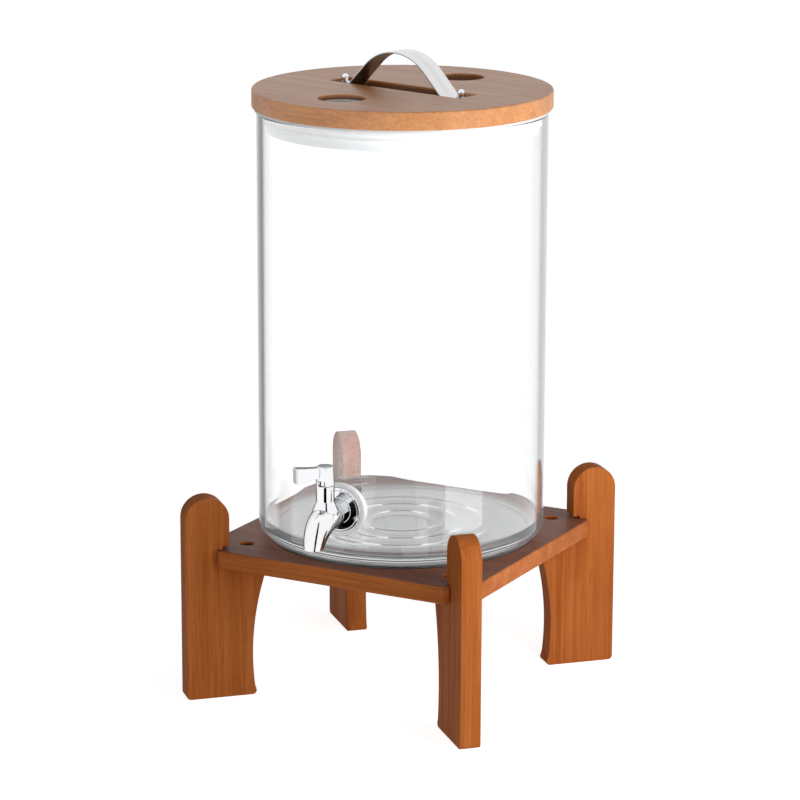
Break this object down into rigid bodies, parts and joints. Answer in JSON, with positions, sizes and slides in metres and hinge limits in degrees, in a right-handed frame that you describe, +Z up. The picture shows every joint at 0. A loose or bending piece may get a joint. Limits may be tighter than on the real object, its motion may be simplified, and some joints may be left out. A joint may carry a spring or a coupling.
{
  "type": "glass beverage dispenser",
  "caption": "Clear glass drink jar with a chrome quarter-turn tap and a lift-off wooden lid with a strap handle, standing on a wooden stand with notched upright legs.",
  "frame": {"origin": "on the floor, on the jar's axis, in the plane of the four feet", "axes": "+Z up along the jar's axis; the stand's front edge, and the tap within a few degrees, face -Y; +X to the right seen from the front"},
  "size_m": [0.222, 0.2543, 0.4259],
  "materials": {
    "stand_wood": "reddish-brown satin stain over fine straight grain",
    "lid_wood": "honey-brown satin stain over fine straight grain",
    "glass": "clear, fire-polished",
    "mat": "satin silver-grey",
    "tap_chrome": "polished",
    "nut_chrome": "polished",
    "strap_steel": "brushed along its length",
    "screw_steel": "bright zinc",
    "valve_brass": "turned",
    "white_silicone": "white silicone, soft sheen",
    "plug_plastic": "milky white, moulded",
    "seal_rubber": "black"
  },
  "bodies": {
    "stand": {"stand_board": "stand_wood", "leg_front_left": "stand_wood", "leg_front_right": "stand_wood", "leg_back_left": "stand_wood", "leg_back_right": "stand_wood", "leg_screws": "screw_steel", "base_mat": "mat"},
    "jar": {"glass_jar": "glass", "tap_body": "tap_chrome", "tap_outer_gasket": "white_silicone", "tap_inner_gasket": "white_silicone", "tap_nut": "tap_chrome", "tap_retaining_ring": "screw_steel"},
    "lever": {"tap_lever": "tap_chrome", "tap_valve_plug": "valve_brass", "tap_o_rings": "seal_rubber"},
    "lid": {"lid_board": "lid_wood", "lid_plug": "plug_plastic", "lid_seal_ring": "white_silicone", "lid_stopper": "white_silicone", "handle_strap": "strap_steel", "handle_screws": "screw_steel", "handle_washers": "screw_steel", "handle_dome_nuts": "nut_chrome"}
  },
  "joints": [
    {"name": "jar_lift", "type": "slide", "parent": "stand", "child": "jar", "axis": [0, 0, 1], "range_m": [0, 0.06]},
    {"name": "lid_lift", "type": "slide", "parent": "jar", "child": "lid", "axis": [0, 0, 1], "range_m": [0, 0.08]},
    {"name": "tap_turn", "type": "hinge", "parent": "jar", "child": "lever", "pos_m": [0.00835, -0.11941, 0.143], "axis": [0, 0, 1], "range_deg": [-45, 45]}
  ]
}
